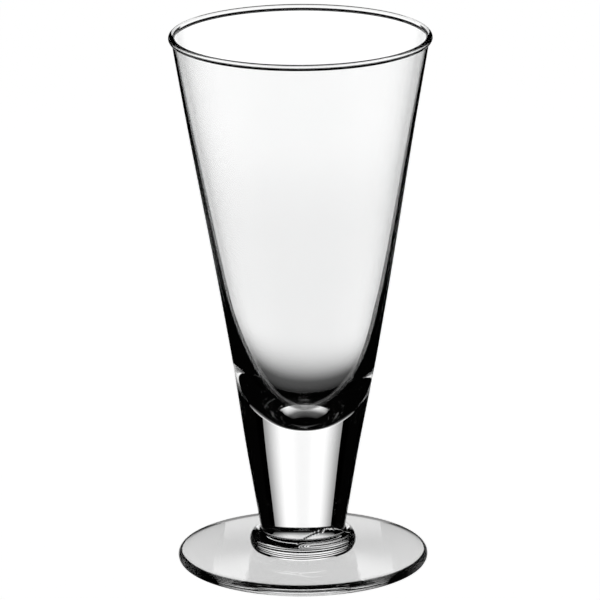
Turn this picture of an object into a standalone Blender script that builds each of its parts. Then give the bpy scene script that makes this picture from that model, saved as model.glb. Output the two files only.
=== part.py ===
"""Footed pint glass: conical bowl, solid stem, folded collar and disc foot.

Metres, +Z up. The origin is the centre of the foot's underside, and every piece is turned about +Z.
"""

import math

import bmesh
import bpy

# Driving dimensions.
HEIGHT = 0.1983
RIM_RADIUS = 0.0476  # outside of the rim bead
RIM_BEAD = 0.0012  # radius of the bead's round section
FOOT_RADIUS = 0.0458
FOOT_EDGE_HEIGHT = 0.00395
FOOT_LOW_ROUND = 0.0021  # rounding of the edge below
FOOT_HIGH_ROUND = 0.0017  # and above
FOOT_CROWN_HEIGHT = 0.0049  # top of the foot, where the collar lands
FOOT_CLIMB = 0.82  # how late the top rises towards the collar

CONE_BASE_RADIUS = 0.01338  # where the outer cone would meet the table
CONE_SLOPE = 0.1689  # outer radius gained for each unit of height

STEM_TOP = 0.047
COLLAR_RING_RADIUS = 0.0158
COLLAR_HEIGHT = 0.0078  # of the ring's middle
COLLAR_HALF_WIDTH = 0.0037
COLLAR_RISE = 0.0041  # from the ring's middle to its top

HOLLOW_TIP = 0.0530  # lowest point of the hollow
HOLLOW_SPREAD = 0.0210  # height over which the hollow opens out from its tip
HOLLOW_CLOSING = 1.5
HOLLOW_FULLNESS = 0.282
HOLLOW_END = 0.080  # below this height the outline has closer points
LIP_WALL = 0.0006  # wall just under the rim bead
WALL_TAPER = 0.0128  # wall gained for each unit of depth below the rim

GAP = 0.0003  # between neighbouring pieces
SEGMENTS = 64
WALL_STEPS = 9  # straight pieces in the inner wall's outline
END_STEPS = 8  # and in the rounded end below it


def cone_radius(height):
    """Outer radius of the one straight cone that the bowl and the stem share."""
    return CONE_BASE_RADIUS + CONE_SLOPE * height


def arc(centre_x, centre_z, radius, start, end, steps, rise=None):
    """Points of an arc in the XZ plane, with angles in degrees from +X and an optional upright half-axis."""
    rise = radius if rise is None else rise
    turns = [math.radians(start + (end - start) * i / steps) for i in range(steps + 1)]
    return [(centre_x + radius * math.cos(a), centre_z + rise * math.sin(a)) for a in turns]


def glass(name, tint, roughness=0.02):
    """A clear Principled glass."""
    material = bpy.data.materials.new(name)
    material.use_nodes = True
    shader = material.node_tree.nodes["Principled BSDF"]
    shader.inputs["Base Color"].default_value = tint
    shader.inputs["Roughness"].default_value = roughness
    shader.inputs["Metallic"].default_value = 0.0
    shader.inputs["IOR"].default_value = 1.52
    shader.inputs["Transmission Weight"].default_value = 1.0
    return material


def turned(name, outline, material, ring=False):
    """Spins an outline of (radius, height) points about +Z into one closed body."""
    mesh = bpy.data.meshes.new(name)
    body = bmesh.new()
    points = [body.verts.new((x, 0.0, z)) for x, z in outline]
    pairs = list(zip(points, points[1:]))
    if ring:
        pairs.append((points[-1], points[0]))
    edges = [body.edges.new(pair) for pair in pairs]
    bmesh.ops.spin(
        body,
        geom=points + edges,
        cent=(0.0, 0.0, 0.0),
        axis=(0.0, 0.0, 1.0),
        angle=2.0 * math.pi,
        steps=SEGMENTS,
        use_merge=True,
    )
    bmesh.ops.remove_doubles(body, verts=body.verts, dist=1e-6)
    bmesh.ops.recalc_face_normals(body, faces=body.faces)
    body.to_mesh(mesh)
    body.free()
    mesh.shade_smooth()
    mesh.set_sharp_from_angle(angle=math.radians(40.0))
    mesh.materials.append(material)
    piece = bpy.data.objects.new(name, mesh)
    bpy.context.scene.collection.objects.link(piece)
    return piece


def hollow_radius(height):
    """Inner radius of the bowl: a thin wall that thickens downwards, closing smoothly to the tip."""
    wall = LIP_WALL + WALL_TAPER * (HEIGHT - height)
    depth = max(height - HOLLOW_TIP, 0.0) / HOLLOW_SPREAD
    return (cone_radius(height) - wall) * (1.0 - math.exp(-(depth**HOLLOW_CLOSING))) ** HOLLOW_FULLNESS


def hollow_outline():
    """Inner surface from under the rim bead down to the tip."""
    top = HEIGHT - 2.0 * RIM_BEAD
    heights = [top - (top - HOLLOW_END) * (i / WALL_STEPS) ** 0.8 for i in range(WALL_STEPS + 1)]
    for i in range(1, END_STEPS + 1):
        turn = math.radians(90.0 * i / END_STEPS)
        heights.append(HOLLOW_END - (HOLLOW_END - HOLLOW_TIP) * math.sin(turn))
    heights[-1] = HOLLOW_TIP
    return [(hollow_radius(height), height) for height in heights]


def make_bowl(material):
    """The hollow cone with its rolled rim and solid lower end."""
    bead_z = HEIGHT - RIM_BEAD
    bead_x = RIM_RADIUS - RIM_BEAD
    outline = [(0.0, STEM_TOP), (cone_radius(STEM_TOP), STEM_TOP)]
    outline.append((cone_radius(HEIGHT / 2.0), HEIGHT / 2.0))
    outline.append((cone_radius(bead_z - 0.004), bead_z - 0.004))
    outline += arc(bead_x, bead_z, RIM_BEAD, -60.0, 210.0, 10)
    outline += hollow_outline()
    return turned("bowl", outline, material)


def make_stem(material):
    """The solid lower part of the cone, which stands on the foot inside the collar."""
    bottom = FOOT_CROWN_HEIGHT + GAP
    top = STEM_TOP - GAP
    joint = COLLAR_HEIGHT + COLLAR_RISE
    middle = 0.5 * (joint + top)
    outline = [(0.0, bottom), (cone_radius(joint) - 0.0009, bottom), (cone_radius(joint) - 0.0004, COLLAR_HEIGHT)]
    outline += [(cone_radius(joint), joint), (cone_radius(middle), middle), (cone_radius(top), top), (0.0, top)]
    return turned("stem", outline, material)


def make_collar(material):
    """The glass ring folded round the stem's lower end."""
    inner = cone_radius(COLLAR_HEIGHT + COLLAR_RISE) + GAP
    land = math.degrees(math.asin((COLLAR_HEIGHT - FOOT_CROWN_HEIGHT - GAP) / COLLAR_RISE))
    outline = arc(COLLAR_RING_RADIUS, COLLAR_HEIGHT, COLLAR_HALF_WIDTH, -land, 82.0, 11, COLLAR_RISE)
    outline += [(inner, outline[-1][1]), (inner, outline[0][1])]
    return turned("collar", outline, material, ring=True)


def make_foot(material):
    """The disc foot: flat underneath, a rounded edge and a top that rises gently to the collar."""
    outline = [(0.0, 0.0)]
    outline += arc(FOOT_RADIUS - FOOT_LOW_ROUND, FOOT_LOW_ROUND, FOOT_LOW_ROUND, -90.0, 0.0, 5)
    high_x, high_z = FOOT_RADIUS - FOOT_HIGH_ROUND, FOOT_EDGE_HEIGHT - FOOT_HIGH_ROUND
    outline += arc(high_x, high_z, FOOT_HIGH_ROUND, 6.0, 86.0, 5)
    crease = COLLAR_RING_RADIUS + COLLAR_HALF_WIDTH
    start_x, start_z = outline[-1]
    for share in (0.25, 0.5, 0.75, 1.0):
        climb = (FOOT_CROWN_HEIGHT - start_z) * share**FOOT_CLIMB
        outline.append((start_x - (start_x - crease) * share, start_z + climb))
    outline.append((0.0, FOOT_CROWN_HEIGHT))
    return turned("foot", outline, material)


def main():
    for old in list(bpy.data.objects):
        bpy.data.objects.remove(old, do_unlink=True)
    glass_frame = bpy.data.objects.new("glass_frame", None)
    bpy.context.scene.collection.objects.link(glass_frame)
    pieces = [
        make_bowl(glass("bowl_glass", (0.97, 0.98, 0.98, 1.0))),
        make_stem(glass("stem_glass", (0.96, 0.98, 0.98, 1.0))),
        make_collar(glass("collar_glass", (0.95, 0.97, 0.98, 1.0), 0.03)),
        make_foot(glass("foot_glass", (0.96, 0.98, 0.98, 1.0))),
    ]
    for piece in pieces:
        piece.parent = glass_frame


main()
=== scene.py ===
"""Footed pint glass: four pieces of clear glass, fused while hot, in a bright-field studio.

Metres, +Z up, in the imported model's frame. The bowl is blown, the stem is drawn from the bowl's solid end,
the collar is a gather of glass wrapped round the stem's foot, and the foot is pressed and then ground flat.
Neighbouring pieces meet at exact common rings. The faces inside such a joint carry a clear contact finish,
because a fused joint has no surface of its own.
"""

import logging
import math
from dataclasses import dataclass, field
from enum import Enum
from typing import Any, Union

import bmesh
import bpy
from mathutils import Matrix, Vector


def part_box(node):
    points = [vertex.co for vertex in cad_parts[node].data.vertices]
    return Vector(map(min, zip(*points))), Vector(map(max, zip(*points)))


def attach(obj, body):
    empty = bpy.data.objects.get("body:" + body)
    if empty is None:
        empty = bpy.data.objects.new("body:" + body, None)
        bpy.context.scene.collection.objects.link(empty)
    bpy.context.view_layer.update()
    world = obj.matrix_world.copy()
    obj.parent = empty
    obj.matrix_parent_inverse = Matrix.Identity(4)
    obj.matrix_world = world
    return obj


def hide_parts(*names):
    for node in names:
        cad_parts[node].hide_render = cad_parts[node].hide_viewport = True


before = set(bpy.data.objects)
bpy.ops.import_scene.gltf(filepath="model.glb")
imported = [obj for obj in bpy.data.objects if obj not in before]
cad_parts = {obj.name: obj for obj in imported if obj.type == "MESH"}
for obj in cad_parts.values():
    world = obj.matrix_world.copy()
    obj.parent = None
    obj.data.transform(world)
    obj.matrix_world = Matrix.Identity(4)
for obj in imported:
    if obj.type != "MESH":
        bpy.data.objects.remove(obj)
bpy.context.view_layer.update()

LOG = logging.getLogger("pint_glass")
MERGE_DISTANCE = 1e-7
ON_FACE = 1e-6  # how close a face lies to a joint's surface to belong to it
SHARP_ANGLE = 50.0  # degrees between faces from which an edge is not smoothed
LIGHT_BOUNCES = 32  # enough for light that crosses many faces of clear glass
COLLAR_JOINT = 0.0158  # height where the collar's skin ends on the stem
SLEEVE_RADIUS = 0.0148  # of the stem inside the collar

Point = tuple[float, float]
Outline = list[Point]
Colour = tuple[float, float, float]
Span = tuple[float, float]
Operand = Union["Value", float]


class Forming(Enum):
    """How a piece was shaped while hot, which decides the marks that its surface keeps."""

    BLOWN = "blown"
    DRAWN = "drawn"
    WRAPPED = "wrapped"
    PRESSED = "pressed"


# ---------------------------------------------------------------------------------------------- shader maths


class Value:
    """A number that varies over a surface: one shader socket that takes part in Python arithmetic."""

    def __init__(self, graph: "Graph", socket: bpy.types.NodeSocket) -> None:
        """Wraps a socket.

        Args:
            graph: The graph that new Math nodes go into.
            socket: The output socket that carries the number.
        """
        self.graph = graph
        self.socket = socket

    def math(self, operation: str, *operands: Operand) -> "Value":
        """Adds one Math node.

        Args:
            operation: The Math node's operation.
            operands: The node's inputs, in order.

        Returns:
            The node's result.
        """
        inputs = dict(enumerate(operands))
        return self.graph.value("ShaderNodeMath", {"operation": operation}, inputs)

    def __add__(self, other: Operand) -> "Value":
        """Sum."""
        return self.math("ADD", self, other)

    def __radd__(self, other: Operand) -> "Value":
        """Sum with a plain number on the left."""
        return self.math("ADD", other, self)

    def __sub__(self, other: Operand) -> "Value":
        """Difference."""
        return self.math("SUBTRACT", self, other)

    def __rsub__(self, other: Operand) -> "Value":
        """Difference from a plain number."""
        return self.math("SUBTRACT", other, self)

    def __mul__(self, other: Operand) -> "Value":
        """Product."""
        return self.math("MULTIPLY", self, other)

    def __rmul__(self, other: Operand) -> "Value":
        """Product with a plain number on the left."""
        return self.math("MULTIPLY", other, self)

    def __pow__(self, other: Operand) -> "Value":
        """Power."""
        return self.math("POWER", self, other)

    def magnitude(self) -> "Value":
        """Absolute value."""
        return self.math("ABSOLUTE", self)

    def angle_from(self, other: "Value") -> "Value":
        """The angle whose tangent is this value over the other one."""
        return self.math("ARCTAN2", self, other)

    def eased(self, start: float, end: float) -> "Value":
        """A smooth step.

        Args:
            start: The value where the step leaves 0.
            end: The value where the step reaches 1.

        Returns:
            0 before start, 1 past end and a smooth rise between them.
        """
        settings = {"interpolation_type": "SMOOTHSTEP"}
        inputs = {"Value": self, "From Min": start, "From Max": end}
        return self.graph.value("ShaderNodeMapRange", settings, inputs)


class Graph:
    """The node tree of one material or world."""

    def __init__(self, owner: Union[bpy.types.Material, bpy.types.World]) -> None:
        """Empties the owner's node tree and takes it over.

        Args:
            owner: The material or world whose tree this is.
        """
        owner.use_nodes = True
        self.tree = owner.node_tree
        self.tree.nodes.clear()

    def add(self, kind: str, settings: dict[str, Any] | None = None,
            inputs: dict[Any, Any] | None = None) -> bpy.types.Node:
        """Adds any node.

        Args:
            kind: The node's type name.
            settings: Attributes of the node, which are set before its sockets.
            inputs: Values, Value objects or sockets for the node's inputs, by name or by number.

        Returns:
            The new node.
        """
        node = self.tree.nodes.new(kind)
        for name, setting in (settings or {}).items():
            setattr(node, name, setting)
        for key, given in (inputs or {}).items():
            target = node.inputs[key]
            source = given.socket if isinstance(given, Value) else given
            if isinstance(source, bpy.types.NodeSocket):
                self.tree.links.new(source, target)
            else:
                target.default_value = source
        return node

    def value(self, kind: str, settings: dict[str, Any], inputs: dict[Any, Any],
              output: int | str = 0) -> Value:
        """Adds a node and wraps one of its outputs.

        Args:
            kind: The node's type name.
            settings: Attributes of the node.
            inputs: Values or links for its inputs.
            output: The output to wrap.

        Returns:
            That output as a Value.
        """
        return Value(self, self.add(kind, settings, inputs).outputs[output])

    def place(self) -> bpy.types.NodeSocket:
        """The point on the piece, in metres."""
        return self.add("ShaderNodeTexCoord").outputs["Object"]

    def stretched(self, stretch: Colour) -> bpy.types.NodeSocket:
        """The point on the piece with each axis scaled.

        Args:
            stretch: Scale along X, Y and Z, in features for each metre.

        Returns:
            The scaled point.
        """
        inputs = {"Vector": self.place(), "Scale": stretch}
        return self.add("ShaderNodeMapping", {"vector_type": "POINT"}, inputs).outputs["Vector"]

    def axes(self) -> tuple[Value, Value, Value]:
        """The point's X, Y and Z as separate values."""
        split = self.add("ShaderNodeSeparateXYZ", None, {"Vector": self.place()})
        return tuple(Value(self, socket) for socket in split.outputs)

    def noise(self, point: bpy.types.NodeSocket, detail: float = 2.0, distortion: float = 0.0) -> Value:
        """Soft random variation.

        Args:
            point: Where the pattern is read, already scaled.
            detail: How many finer layers it has.
            distortion: How far the pattern is pulled about.

        Returns:
            A value around 0.5.
        """
        inputs = {"Vector": point, "Scale": 1.0, "Detail": detail, "Distortion": distortion}
        return self.value("ShaderNodeTexNoise", {"noise_dimensions": "3D"}, inputs, "Fac")

    def show(self, surface: bpy.types.NodeSocket) -> None:
        """Ends a material's tree.

        Args:
            surface: The shader that the material shows.
        """
        self.add("ShaderNodeOutputMaterial", None, {"Surface": surface})

    def blend(self, share: Value, first: Colour, second: Colour) -> bpy.types.NodeSocket:
        """Mixes two colours.

        Args:
            share: How much of the second colour shows.
            first: The colour where share is 0.
            second: The colour where share is 1.

        Returns:
            The mixed colour.
        """
        mix = self.add("ShaderNodeMix", {"data_type": "RGBA", "clamp_factor": True},
                       {"Factor": share, "A": (*first, 1.0), "B": (*second, 1.0)})
        return mix.outputs["Result"]


# --------------------------------------------------------------------------------------------------- finishes

# How fine each pattern is, in features for each metre along X, Y and Z.
BLOWN_WAVES = (38.0, 38.0, 14.0)
DRAWN_LINES = (240.0, 240.0, 9.0)
PRESSED_WAVES = (45.0, 45.0, 45.0)
MELT_CORDS = (22.0, 22.0, 60.0)
SPECKS = (900.0, 900.0, 900.0)
SPECK_PATCHES = (30.0, 30.0, 30.0)
SCRATCHES = (2400.0, 90.0, 60.0)
PAPER_FIBRE = (400.0, 400.0, 400.0)
VELVET_PILE = (900.0, 900.0, 900.0)
# The same for patterns that follow the turned shape: along its radius, its height and, in features for each
# radian, its circumference.
WRAP_ACROSS = 500.0
WRAP_ALONG = 1.6
PRESSED_RINGS = 160.0
PRESSED_LEVELS = 60.0

BLACK = (0.0, 0.0, 0.0)
WHITE = (1.0, 1.0, 1.0)
CLEAR = (0.989, 0.99, 0.99)
CLEAR_CORDS = (0.985, 0.987, 0.987)
WRAPPED_CLEAR = (0.982, 0.984, 0.984)
WRAPPED_CORDS = (0.974, 0.977, 0.977)


@dataclass(frozen=True)
class GlassFinish:
    """Clear soda-lime glass with the marks of the way it was formed."""

    name: str
    forming: Forming
    tint: Colour
    cord_tint: Colour  # where the melt is a little denser
    ripple_depth: float  # metres from trough to crest of the surface's slow waves
    wear: float  # roughness added where the glass is worn or ground
    refraction: float = 1.52
    ground_height: Span = (0.0001, 0.0004)  # the ground underside ends between these heights

    def ripple(self, graph: Graph) -> Value:
        """The forming marks as a height.

        Args:
            graph: The material's graph.

        Returns:
            A height from 0 to 1.
        """
        x, y, z = graph.axes()
        radius = (x * x + y * y) ** 0.5
        if self.forming is Forming.BLOWN:
            return graph.noise(graph.stretched(BLOWN_WAVES), 1.0)
        if self.forming is Forming.DRAWN:
            return graph.noise(graph.stretched(DRAWN_LINES), 1.0)
        if self.forming is Forming.WRAPPED:
            turn = y.angle_from(x)
            inputs = {"X": radius * WRAP_ACROSS, "Y": z * WRAP_ACROSS, "Z": turn * WRAP_ALONG}
            streak = graph.add("ShaderNodeCombineXYZ", None, inputs).outputs["Vector"]
            return graph.noise(streak, 3.0, 0.4)
        inputs = {"X": radius * PRESSED_RINGS, "Z": z * PRESSED_LEVELS}
        rings = graph.add("ShaderNodeCombineXYZ", None, inputs)
        sheared = graph.noise(rings.outputs["Vector"], 1.0)
        return sheared * 0.5 + graph.noise(graph.stretched(PRESSED_WAVES), 2.0) * 0.5

    def worn(self, graph: Graph) -> Value:
        """Where the glass is worn, from 0 for clean fire polish to 1.

        Args:
            graph: The material's graph.

        Returns:
            The share of wear.
        """
        _, _, z = graph.axes()
        specks = graph.noise(graph.stretched(SPECKS), 3.0).eased(0.62, 0.80)
        if self.forming is Forming.PRESSED:
            underside = 1.0 - z.eased(*self.ground_height)
            scratches = graph.noise(graph.stretched(SCRATCHES), 2.0, 0.6).eased(0.55, 0.75)
            return underside * (0.35 + 0.65 * scratches) + specks * 0.1
        return specks * graph.noise(graph.stretched(SPECK_PATCHES), 1.0).eased(0.45, 0.75)

    def material(self) -> bpy.types.Material:
        """Makes the finish.

        Returns:
            A new material.
        """
        made = bpy.data.materials.new(self.name)
        graph = Graph(made)
        cords = graph.noise(graph.stretched(MELT_CORDS), 2.0).eased(0.35, 0.65)
        bump = graph.add("ShaderNodeBump", None, {
            "Height": self.ripple(graph),
            "Strength": 1.0,
            "Distance": self.ripple_depth,
        })
        shader = graph.add("ShaderNodeBsdfPrincipled", None, {
            "Base Color": graph.blend(cords, self.tint, self.cord_tint),
            "Roughness": self.worn(graph) * self.wear,
            "IOR": self.refraction,
            "Transmission Weight": 1.0,
            "Normal": bump.outputs["Normal"],
        })
        graph.show(shader.outputs["BSDF"])
        return made


@dataclass(frozen=True)
class FusedContact:
    """The inside of a fused joint, which is one glass on both sides and so can't be seen."""

    name: str

    def material(self) -> bpy.types.Material:
        """Makes a fully clear surface.

        Returns:
            A new material.
        """
        made = bpy.data.materials.new(self.name)
        graph = Graph(made)
        shader = graph.add("ShaderNodeBsdfPrincipled", None, {"Alpha": 0.0, "IOR": 1.0})
        graph.show(shader.outputs["BSDF"])
        return made


@dataclass(frozen=True)
class PaperFinish:
    """Even white studio paper, lit so that it reads as plain white."""

    name: str = "studio_paper"
    reflectance: float = 0.8
    fibre_contrast: float = 0.03
    glow: float = 1.0

    def material(self) -> bpy.types.Material:
        """Makes the paper.

        Returns:
            A new material.
        """
        made = bpy.data.materials.new(self.name)
        graph = Graph(made)
        fibre = graph.noise(graph.stretched(PAPER_FIBRE), 2.0)
        dark = (self.reflectance,) * 3
        light = (self.reflectance + self.fibre_contrast,) * 3
        shader = graph.add("ShaderNodeBsdfPrincipled", None, {
            "Base Color": graph.blend(fibre, dark, light),
            "Roughness": 0.9,
            "Emission Color": (*WHITE, 1.0),
            "Emission Strength": self.glow,
        })
        graph.show(shader.outputs["BSDF"])
        return made


@dataclass(frozen=True)
class LightPanelFinish:
    """A backlit panel whose light changes over its face, in the panel's own X and Y."""

    name: str
    brightness: float
    lift: float = 0.12  # extra light in two upright bands
    lift_low: Span = (0.010, 0.075)  # where a band begins, from the middle, and is full
    lift_high: Span = (0.09, 0.16)  # where it starts to fade and ends
    side_loss: float = 0.68  # share of the light that is lost towards the sides
    side_fade: Span = (0.10, 0.245)
    side_edge: float = 0.236  # where the panel ends
    edge_blur: float = 0.002
    spill: float = 0.09  # share of the light that reaches down past the panel's lower part
    spill_fade: Span = (-0.50, -0.22)
    low_fade: Span = (-0.27, -0.07)
    crown: float = 0.10  # share of the light that only the upper part adds
    crown_fade: Span = (0.02, 0.07)
    high_fade: Span = (0.13, 0.20)
    headroom: float = 2.0  # how many times the plain brightness the light may reach

    def material(self) -> bpy.types.Material:
        """Makes the panel's light.

        Returns:
            A new material.
        """
        made = bpy.data.materials.new(self.name)
        graph = Graph(made)
        x, y, _ = graph.axes()
        aside = x.magnitude()
        band = aside.eased(*self.lift_low) * (1.0 - aside.eased(*self.lift_high))
        across = (1.0 + band * self.lift) * (1.0 - aside.eased(*self.side_fade) * self.side_loss)
        across = across * (1.0 - aside.eased(self.side_edge - self.edge_blur, self.side_edge))
        main_part = y.eased(*self.low_fade) * (1.0 - self.spill - self.crown)
        upward = y.eased(*self.spill_fade) * self.spill + main_part + y.eased(*self.crown_fade) * self.crown
        upward = upward * (1.0 - y.eased(*self.high_fade))
        light = graph.blend(across * upward * (1.0 / self.headroom), BLACK, WHITE)
        strength = self.brightness * self.headroom
        glow = graph.add("ShaderNodeEmission", None, {"Color": light, "Strength": strength})
        graph.show(glow.outputs["Emission"])
        return made


@dataclass(frozen=True)
class FlagFinish:
    """Black velvet of the flags, which takes the light that the glass throws sideways."""

    name: str = "black_flag"
    pile_glint: Colour = (0.003, 0.003, 0.003)

    def material(self) -> bpy.types.Material:
        """Makes the velvet.

        Returns:
            A new material.
        """
        made = bpy.data.materials.new(self.name)
        graph = Graph(made)
        pile = graph.noise(graph.stretched(VELVET_PILE), 2.0)
        shader = graph.add("ShaderNodeBsdfPrincipled", None, {
            "Base Color": graph.blend(pile, BLACK, self.pile_glint),
            "Roughness": 1.0,
            "Specular IOR Level": 0.0,
        })
        graph.show(shader.outputs["BSDF"])
        return made


# --------------------------------------------------------------------------------------------- shared shaping


def smoothstep(start: float, end: float, number: float) -> float:
    """A smooth rise from 0 to 1.

    Args:
        start: Where the rise leaves 0.
        end: Where it reaches 1.
        number: Where it is read.

    Returns:
        The height of the rise there.
    """
    share = min(max((number - start) / (end - start), 0.0), 1.0)
    return share * share * (3.0 - 2.0 * share)


def arc(centre: Point, radii: Span, start: float, end: float, steps: int) -> Outline:
    """Points of an elliptical arc in the plane of the outline.

    Args:
        centre: Radius and height of the arc's centre.
        radii: Its half-width and half-height.
        start: First angle in degrees, from straight outwards.
        end: Last angle in degrees.
        steps: Number of straight pieces.

    Returns:
        The points, both ends included.
    """
    turns = [math.radians(start + (end - start) * i / steps) for i in range(steps + 1)]
    return [(centre[0] + radii[0] * math.cos(a), centre[1] + radii[1] * math.sin(a)) for a in turns]


def between(first: Point, last: Point, steps: int) -> Outline:
    """Evenly spaced points on a straight line.

    Args:
        first: The line's start.
        last: The line's end.
        steps: Number of equal pieces.

    Returns:
        The points, both ends included.
    """
    shares = [i / steps for i in range(steps + 1)]
    return [(first[0] + (last[0] - first[0]) * s, first[1] + (last[1] - first[1]) * s) for s in shares]


@dataclass(frozen=True)
class Cone:
    """The straight outer cone that the bowl and the stem share."""

    radius_at_joint: float
    joint_height: float
    slope: float = 0.1689  # radius gained for each unit of height
    lean: float = 0.0008  # how far its middle stands off the axis, towards +X
    lean_low: Span = (0.038, 0.082)  # heights where the lean begins and where it is full
    lean_high: Span = (0.095, 0.175)  # heights where it starts to go back and where it ends

    def radius(self, height: float) -> float:
        """Outer radius at a height."""
        return self.radius_at_joint + self.slope * (height - self.joint_height)

    def offset(self, height: float) -> float:
        """How far the cone's middle stands towards +X at a height."""
        return self.lean * smoothstep(*self.lean_low, height) * (1.0 - smoothstep(*self.lean_high, height))


@dataclass
class TurnedPiece:
    """What every piece of the glass has: a turned mesh, a glass and a CAD node that it stands for."""

    name: str
    node: str
    slot: str
    glass: GlassFinish
    steps: int = 192  # straight pieces round the circumference

    def outline(self) -> Outline:
        """The outline that is turned about +Z. Each piece has its own."""
        raise NotImplementedError

    def closed_ring(self) -> bool:
        """Whether the outline closes on itself instead of ending on the axis."""
        return False

    def settle(self, place: Vector) -> Vector:
        """Where a point of the turned shape ends up once the glass has settled.

        Args:
            place: The point as turned.

        Returns:
            The point as it is on the finished piece.
        """
        return place

    def in_joint(self, middle: Vector) -> bool:
        """Whether a face with this middle lies inside a fused joint."""
        raise NotImplementedError

    def turn(self) -> bmesh.types.BMesh:
        """Spins the outline into one closed body.

        Returns:
            The turned body.
        """
        body = bmesh.new()
        rim = [body.verts.new((radius, 0.0, height)) for radius, height in self.outline()]
        pairs = list(zip(rim, rim[1:]))
        if self.closed_ring():
            pairs.append((rim[-1], rim[0]))
        edges = [body.edges.new(pair) for pair in pairs]
        bmesh.ops.spin(body, geom=rim + edges, cent=(0.0, 0.0, 0.0), axis=(0.0, 0.0, 1.0),
                       angle=2.0 * math.pi, steps=self.steps, use_merge=True)
        bmesh.ops.remove_doubles(body, verts=body.verts, dist=MERGE_DISTANCE)
        return body

    def build(self) -> bpy.types.Object:
        """Makes the piece, dresses it and sets it in the frame.

        Returns:
            The finished object.
        """
        body = self.turn()
        inside = 0
        for face in body.faces:
            face.material_index = int(self.in_joint(face.calc_center_median()))
            face.smooth = True
            inside += face.material_index
        for vertex in body.verts:
            vertex.co = self.settle(vertex.co.copy())
        bmesh.ops.recalc_face_normals(body, faces=body.faces)
        if body.calc_volume(signed=True) < 0.0:  # a thin ring can come out inside out
            bmesh.ops.reverse_faces(body, faces=body.faces)
        mesh = bpy.data.meshes.new(self.name)
        body.to_mesh(mesh)
        body.free()
        mesh.set_sharp_from_angle(angle=math.radians(SHARP_ANGLE))
        piece = bpy.data.objects.new(self.name, mesh)
        bpy.context.scene.collection.objects.link(piece)
        self.dress(piece)
        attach(piece, "root")
        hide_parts(self.node)
        LOG.info("%s: %d faces, %d of them in joints", self.name, len(mesh.polygons), inside)
        return piece

    def dress(self, piece: bpy.types.Object) -> None:
        """Gives the piece its glass and its joints their clear contact finish."""
        piece.data.materials.append(self.glass.material())
        piece.data.materials.append(FusedContact(f"{self.name}_joint").material())


# ------------------------------------------------------------------------------------------------- the pieces


@dataclass
class Bowl(TurnedPiece):
    """The blown bowl: a straight cone with a fire-polished bead, and a hollow with a rounded bottom."""

    cone: Cone = field(kw_only=True)
    top: float = field(kw_only=True)
    rim_radius: float = field(kw_only=True)
    bead: float = 0.0012  # radius of the rim bead's section
    lip_wall: float = 0.0006
    taper: float = 0.0128  # wall gained for each unit of depth below the rim
    hollow_tip: float = 0.0530
    spread: float = 0.0210  # how far above its tip the hollow opens out
    closing: float = 1.5  # how fast it opens out
    fullness: float = 0.282  # less is a fuller, flatter tip
    drift: float = 0.0005  # how far the hollow's bottom sits off the cone's middle
    drift_fade: Span = (0.070, 0.100)
    neck_drop: float = 0.0009  # from the bead's middle down to where the cone runs into it
    support: float = 0.0005  # length of the short pieces that keep the neck's shading even
    lip_support: float = 0.0001  # and of those under the lip
    lip_drop: float = 1.9  # from the top to the hollow's wall, in bead radii
    skin_depth: float = 0.0003  # a point this far inside the cone belongs to the hollow

    def hollow_radius(self, height: float) -> float:
        """Inner radius: the cone less a tapering wall, closed by the rounded end of the blown bubble."""
        wall = self.lip_wall + self.taper * (self.top - height)
        rise = max(height - self.hollow_tip, 0.0) / self.spread
        return (self.cone.radius(height) - wall) * (1.0 - math.exp(-(rise**self.closing))) ** self.fullness

    def outline(self) -> Outline:
        """Outside from the joint up to the bead, over it and down the hollow to its tip."""
        bottom = self.cone.joint_height
        bead_centre = (self.rim_radius - self.bead, self.top - self.bead)
        neck = bead_centre[1] - self.neck_drop
        rest = neck - self.support
        foot, shoulder, throat = ((self.cone.radius(height), height) for height in (bottom, rest, neck))
        points = between((0.0, bottom), foot, 6)
        points += between(foot, shoulder, 60)[1:]
        points += between(shoulder, throat, 5)[1:]
        points += arc(bead_centre, (self.bead, self.bead), -40.0, 196.0, 28)
        start = self.top - self.lip_drop * self.bead
        walls = [start - self.lip_support * i for i in range(6)]
        depth = walls[-1] - self.hollow_tip
        walls += [self.hollow_tip + depth * (1.0 - i / 130.0) ** 2 for i in range(1, 131)]
        return points + [(self.hollow_radius(height), height) for height in walls]

    def settle(self, place: Vector) -> Vector:
        """Leans the bowl with its cone, and sets the hollow's bottom a little further off."""
        radius = math.hypot(place.x, place.y)
        inside = radius < self.cone.radius(place.z) - self.skin_depth and place.z > self.hollow_tip - ON_FACE
        place.x += self.cone.offset(place.z)
        if inside:
            place.x += self.drift * (1.0 - smoothstep(*self.drift_fade, place.z))
        return place

    def in_joint(self, middle: Vector) -> bool:
        """The disc where the bowl meets the stem."""
        return middle.z < self.cone.joint_height + ON_FACE


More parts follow.
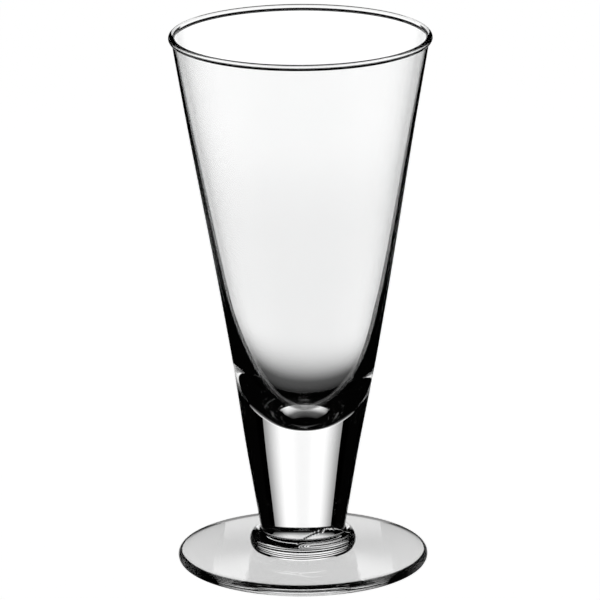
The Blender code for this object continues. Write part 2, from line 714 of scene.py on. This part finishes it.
@dataclass
class Stem(TurnedPiece):
    """The solid stem, drawn from the bowl's end, whose lower part stands inside the collar."""

    cone: Cone = field(kw_only=True)
    collar_joint: float = field(kw_only=True)  # height where the collar's skin ends on the stem
    sleeve: float = field(kw_only=True)  # the stem's radius inside the collar
    crown: float = field(kw_only=True)  # top of the foot under the stem

    def outline(self) -> Outline:
        """From the middle of the lower disc, up the side and in along the upper disc."""
        ledge = (self.cone.radius(self.collar_joint), self.collar_joint)
        top = self.cone.joint_height
        points = between((0.0, self.crown), (self.sleeve, self.crown), 4)
        points += between((self.sleeve, self.crown), (self.sleeve, self.collar_joint), 3)[1:]
        points += between((self.sleeve, self.collar_joint), ledge, 1)[1:]
        points += between(ledge, (self.cone.radius(top), top), 24)[1:]
        return points + between((self.cone.radius(top), top), (0.0, top), 6)[1:]

    def settle(self, place: Vector) -> Vector:
        """Leans the stem with its cone."""
        place.x += self.cone.offset(place.z)
        return place

    def in_joint(self, middle: Vector) -> bool:
        """The disc under the bowl, the side and ledge inside the collar and the disc on the foot."""
        return middle.z > self.cone.joint_height - ON_FACE or middle.z < self.collar_joint + ON_FACE


@dataclass
class Collar(TurnedPiece):
    """The gather of glass wrapped round the stem's foot, whose end laps over its start."""

    cone: Cone = field(kw_only=True)
    collar_joint: float = field(kw_only=True)
    sleeve: float = field(kw_only=True)
    crown: float = field(kw_only=True)
    ring_radius: float = 0.0158
    ring_height: float = 0.0078
    half_width: float = 0.0037
    rise: float = 0.0041  # from the ring's middle to its top
    fillet: float = 0.0007  # of the hollow between the ring's top and the stem
    lap_start: float = -11.0  # degrees from the front, positive towards +X
    lap_end: float = 76.0
    lap_depth: float = 0.0014
    lap_edge: float = 0.0004  # how wide the lap's rolled edge is
    lap_level: float = 0.60  # where the lap's ends meet the ring, as a share of its rise
    lap_gap: float = 0.0003  # between the lap's highest point and the collar's joint with the stem
    lap_fullness: float = 0.9  # less is a fuller arch
    lap_upward: float = 0.25  # how far the lap is raised upwards for each unit outwards
    start_blend: float = 20.0  # degrees over which the lap rises at its start
    end_blend: float = 3.0
    side_share: float = 0.5  # the lap ends this share of the rise below the ring's top
    skin_width: float = 0.0006  # a point this far inside the ring's middle stays where it is
    tuck: float = 6.0  # degrees that the ring's arc starts short of the fillet

    def closed_ring(self) -> bool:
        """A ring has no point on the axis."""
        return True

    def foot_radius(self) -> float:
        """Radius of the crease where the collar's outside lands on the foot."""
        drop = self.ring_height - self.crown
        return self.ring_radius + self.half_width * math.sqrt(max(1.0 - (drop / self.rise) ** 2, 0.0))

    def outline(self) -> Outline:
        """Down the stem, round the ring's outside to the foot, then back inside the joint."""
        ledge = (self.cone.radius(self.collar_joint), self.collar_joint)
        shoulder = self.ring_height + self.rise + self.fillet
        skin = between(ledge, (self.cone.radius(shoulder), shoulder), 8)
        corner = (self.cone.radius(shoulder) + self.fillet, shoulder)
        hollow = arc(corner, (self.fillet, self.fillet), 180.0, 262.0, 8)[1:]
        start = math.degrees(math.acos((hollow[-1][0] - self.ring_radius) / self.half_width)) - self.tuck
        land = -math.degrees(math.asin((self.ring_height - self.crown) / self.rise))
        ring = arc((self.ring_radius, self.ring_height), (self.half_width, self.rise), start, land, 48)
        under = between(ring[-1], (self.sleeve, self.crown), 5)[1:]
        back = between((self.sleeve, self.crown), (self.sleeve, self.collar_joint), 6)[1:]
        return skin + hollow + ring + under + back

    def lap_top(self, turn: float) -> float:
        """Height of the lap's upper edge.

        Args:
            turn: Degrees from the front, positive towards +X.

        Returns:
            The height, which arches from the ring's shoulder up the stem and down again.
        """
        share = min(max((turn - self.lap_start) / (self.lap_end - self.lap_start), 0.0), 1.0)
        shoulder = self.ring_height + self.lap_level * self.rise
        arch = self.collar_joint - self.lap_gap - shoulder
        return shoulder + arch * math.sin(math.pi * share) ** self.lap_fullness

    def settle(self, place: Vector) -> Vector:
        """Raises the lapped end of the gather over the ring."""
        radius = math.hypot(place.x, place.y)
        if self.in_joint(place) or radius < self.ring_radius - self.skin_width:
            return place
        turn = math.degrees(math.atan2(place.x, -place.y))
        if not self.lap_start < turn < self.lap_end:
            return place
        below = self.lap_top(turn) - place.z
        ends = smoothstep(self.lap_start, self.lap_start + self.start_blend, turn)
        ends *= 1.0 - smoothstep(self.lap_end - self.end_blend, self.lap_end, turn)
        crest = self.ring_height + self.rise
        lift = smoothstep(0.0, self.lap_edge, below)
        lift *= smoothstep(crest - self.side_share * self.rise, crest, place.z)
        outward = Vector((place.x / radius, place.y / radius, self.lap_upward))
        return place + outward * (self.lap_depth * lift * ends)

    def in_joint(self, middle: Vector) -> bool:
        """The sleeve and ledge against the stem and the annulus on the foot."""
        radius = math.hypot(middle.x, middle.y)
        level = middle.z < self.crown + ON_FACE or middle.z > self.collar_joint - ON_FACE
        return level or radius < self.sleeve + ON_FACE


@dataclass
class Foot(TurnedPiece):
    """The pressed disc foot: ground underneath, with a rounded edge and a top that rises to the collar."""

    crown: float = field(kw_only=True)
    crease_radius: float = field(kw_only=True)  # where the collar lands
    radius: float = field(kw_only=True)
    edge_height: float = 0.00395
    low_round: float = 0.0021  # radius of the edge's lower rounding
    high_round: float = 0.0017
    hollow_grind: float = 0.00034  # how far the underside's middle is ground in
    climb_power: float = 0.82  # how late the top rises towards the collar
    rim_width: float = 0.002  # flat ring outside the ground middle, which the glass stands on

    def outline(self) -> Outline:
        """From the axis out along the underside, round the edge and in over the top."""
        rest = self.radius - self.low_round - self.rim_width
        shares = [i / 20.0 for i in range(20)]
        points = [(rest * share, self.hollow_grind * (1.0 - share * share)) for share in shares]
        points += between((rest, 0.0), (self.radius - self.low_round, 0.0), 2)
        low_centre = (self.radius - self.low_round, self.low_round)
        points += arc(low_centre, (self.low_round,) * 2, -90.0, 0.0, 14)[1:]
        high_centre = (self.radius - self.high_round, self.edge_height - self.high_round)
        points += arc(high_centre, (self.high_round,) * 2, 0.0, 86.0, 14)[1:]
        start = points[-1]
        reach = start[0] - self.crease_radius
        climb = self.crown - start[1]
        for i in range(1, 25):
            share = i / 24.0
            points.append((start[0] - reach * share, start[1] + climb * share**self.climb_power))
        return points + between((self.crease_radius, self.crown), (0.0, self.crown), 5)[1:]

    def in_joint(self, middle: Vector) -> bool:
        """The disc under the stem and the collar."""
        radius = math.hypot(middle.x, middle.y)
        return middle.z > self.crown - ON_FACE and radius < self.crease_radius


# ------------------------------------------------------------------------------------------------- the studio


@dataclass
class Studio:
    """White paper, light panels behind the glass, black flags beside it and a long-lens camera."""

    aim: Vector
    elevation: float = math.radians(16.05)
    distance: float = 2.28
    focal_length: float = 376.1
    roll: float = math.radians(-0.3)
    shift_x: float = -0.0029
    shift_y: float = -0.00167
    paper_side: float = 8.0
    paper_gap: float = 0.0002  # the paper lies this far below the foot
    panel_distance: float = 0.45
    panel_size: Span = (0.32, 0.62)  # half-width and half-height
    room_light: float = 0.001
    behind: LightPanelFinish = LightPanelFinish("panel_behind", 1.15)
    mirrored: LightPanelFinish = LightPanelFinish("panel_mirrored", 0.85)
    flag_distance: float = 0.060
    flag_gap: float = 0.0125  # between the glass's outline and a flag's edge
    flag_low: Span = (0.0165, -0.080)  # the glass's half-width and height, as the camera sees it
    flag_high: Span = (0.0550, 0.137)
    flag_reach: float = 0.40

    def make_paper(self) -> bpy.types.Object:
        """Lays the white paper that the glass stands on.

        Returns:
            The paper.
        """
        sheet = self.grid("studio_floor", self.paper_side / 2.0, self.paper_side / 2.0)
        sheet.data.transform(Matrix.Translation((0.0, 0.0, -self.paper_gap)))
        sheet.data.materials.append(PaperFinish().material())
        sheet.visible_transmission = False
        sheet.visible_glossy = False
        return sheet

    def grid(self, name: str, half_width: float, half_height: float) -> bpy.types.Object:
        """A flat rectangle in the XY plane.

        Args:
            name: The object's name.
            half_width: Half its size along X.
            half_height: Half its size along Y.

        Returns:
            The new object.
        """
        flat = bmesh.new()
        shape = Matrix.Diagonal((half_width, half_height, 1.0, 1.0))
        bmesh.ops.create_grid(flat, x_segments=1, y_segments=1, size=1.0, matrix=shape)
        return self.staged(name, flat)

    def staged(self, name: str, body: bmesh.types.BMesh) -> bpy.types.Object:
        """Turns a body into an object of the studio, which is no part of the glass.

        Args:
            name: The object's name.
            body: The body, which is freed.

        Returns:
            The new object.
        """
        mesh = bpy.data.meshes.new(name)
        body.to_mesh(mesh)
        body.free()
        made = bpy.data.objects.new(name, mesh)
        bpy.context.scene.collection.objects.link(made)
        return made

    def hang(self, made: bpy.types.Object, stand: bpy.types.Object) -> None:
        """Hangs an object on the stand, where only the glass shows it.

        Args:
            made: The panel or flags.
            stand: The stand.
        """
        made.parent = stand
        made.visible_camera = False
        made.visible_diffuse = False
        made.visible_shadow = False

    def make_panel(self, finish: LightPanelFinish, stand: bpy.types.Object) -> bpy.types.Object:
        """Hangs a light panel behind the glass, square to the line of sight.

        Args:
            finish: The panel's light.
            stand: The stand that it hangs on.

        Returns:
            The panel.
        """
        panel = self.grid(finish.name, *self.panel_size)
        panel.data.materials.append(finish.material())
        panel.location = (0.0, self.panel_distance, 0.0)
        panel.rotation_euler = (math.pi / 2.0, 0.0, 0.0)
        self.hang(panel, stand)
        return panel

    def make_flags(self, stand: bpy.types.Object) -> bpy.types.Object:
        """Stands a black flag close to each side of the glass, just outside its outline.

        Args:
            stand: The stand that they hang on.

        Returns:
            Both flags.
        """
        flat = bmesh.new()
        for side in (-1.0, 1.0):
            edge = [(half + self.flag_gap, height) for half, height in (self.flag_low, self.flag_high)]
            edge += [(self.flag_reach, self.flag_high[1]), (self.flag_reach, self.flag_low[1])]
            flat.faces.new([flat.verts.new((side * x, self.flag_distance, z)) for x, z in edge])
        flags = self.staged("flags", flat)
        flags.data.materials.append(FlagFinish().material())
        self.hang(flags, stand)
        return flags

    def make_camera(self) -> bpy.types.Object:
        """Sets up the long-lens camera.

        Returns:
            The camera.
        """
        lens = bpy.data.cameras.new("camera")
        lens.sensor_width = 36.0
        lens.lens = self.focal_length
        lens.shift_x = self.shift_x
        lens.shift_y = self.shift_y
        lens.clip_end = 50.0
        camera = bpy.data.objects.new("camera", lens)
        back = Vector((0.0, -math.cos(self.elevation), math.sin(self.elevation)))
        camera.location = self.aim + back * self.distance
        camera.rotation_euler = (math.pi / 2.0 - self.elevation, 0.0, 0.0)
        camera.rotation_euler.rotate_axis("Z", self.roll)
        bpy.context.scene.collection.objects.link(camera)
        bpy.context.scene.camera = camera
        return camera

    def make_stand(self, camera: bpy.types.Object) -> bpy.types.Object:
        """The stand for the panels, which turns so that they stay behind the glass.

        Args:
            camera: The camera that the stand faces.

        Returns:
            The stand.
        """
        stand = bpy.data.objects.new("panel_stand", None)
        stand.location = self.aim
        bpy.context.scene.collection.objects.link(stand)
        facing = stand.constraints.new("TRACK_TO")
        facing.target = camera
        facing.track_axis = "TRACK_NEGATIVE_Y"
        facing.up_axis = "UP_Z"
        return stand

    def make_room(self) -> None:
        """White surroundings for the camera and a dark room for everything the glass bends away."""
        world = bpy.data.worlds.new("room")
        bpy.context.scene.world = world
        graph = Graph(world)
        seen = graph.value("ShaderNodeLightPath", {}, {}, "Is Camera Ray")
        strength = seen * (1.0 - self.room_light) + self.room_light
        light = graph.add("ShaderNodeBackground", None, {"Strength": strength})
        graph.add("ShaderNodeOutputWorld", None, {"Surface": light.outputs["Background"]})

    def set_light_paths(self) -> None:
        """Lets light pass the many faces of clear glass, with plain display colours."""
        scene = bpy.context.scene
        scene.view_settings.view_transform = "Standard"
        scene.cycles.max_bounces = LIGHT_BOUNCES
        scene.cycles.transmission_bounces = LIGHT_BOUNCES
        scene.cycles.glossy_bounces = LIGHT_BOUNCES
        scene.cycles.transparent_max_bounces = LIGHT_BOUNCES
        scene.cycles.sample_clamp_indirect = 0.0

    def build(self) -> None:
        """Sets the whole studio up."""
        self.make_paper()
        stand = self.make_stand(self.make_camera())
        self.make_flags(stand)
        behind = self.make_panel(self.behind, stand)
        behind.visible_glossy = False
        mirrored = self.make_panel(self.mirrored, stand)
        mirrored.visible_transmission = False
        self.make_room()
        self.set_light_paths()
        LOG.info("studio: camera %.1f degrees above the table", math.degrees(self.elevation))


# ----------------------------------------------------------------------------------------------------- making


def main() -> None:
    """Builds the four pieces from the frame's sizes, then the studio."""
    logging.basicConfig(level=logging.INFO, format="%(message)s")
    bowl_low, bowl_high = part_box("bowl")
    stem_low, stem_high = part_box("stem")
    _, foot_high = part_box("foot")
    joint_height = 0.5 * (stem_high.z + bowl_low.z)
    cone = Cone(stem_high.x + Cone.slope * (joint_height - stem_high.z), joint_height)
    crown = 0.5 * (foot_high.z + stem_low.z)

    bowl = Bowl(
        "bowl_blown", "bowl", "bowl_glass",
        GlassFinish("blown_glass", Forming.BLOWN, CLEAR, CLEAR_CORDS, ripple_depth=3e-6, wear=0.005),
        cone=cone, top=bowl_high.z, rim_radius=bowl_high.x)
    stem = Stem(
        "stem_drawn", "stem", "stem_glass",
        GlassFinish("drawn_glass", Forming.DRAWN, CLEAR, CLEAR_CORDS, ripple_depth=1e-6, wear=0.005),
        cone=cone, collar_joint=COLLAR_JOINT, sleeve=SLEEVE_RADIUS, crown=crown)
    collar = Collar(
        "collar_wrapped", "collar", "collar_glass",
        GlassFinish("wrapped_glass", Forming.WRAPPED, WRAPPED_CLEAR, WRAPPED_CORDS,
                    ripple_depth=2e-6, wear=0.008),
        steps=384, cone=cone, collar_joint=COLLAR_JOINT, sleeve=SLEEVE_RADIUS, crown=crown)
    foot = Foot(
        "foot_pressed", "foot", "foot_glass",
        GlassFinish("pressed_glass", Forming.PRESSED, CLEAR, CLEAR_CORDS, ripple_depth=4e-6, wear=0.08),
        crown=crown, crease_radius=collar.foot_radius(), radius=foot_high.x)
    for piece in (bowl, stem, collar, foot):
        piece.build()
    Studio(aim=Vector((0.0, 0.0, 0.5 * bowl_high.z))).build()


if __name__ == "__main__":
    main()
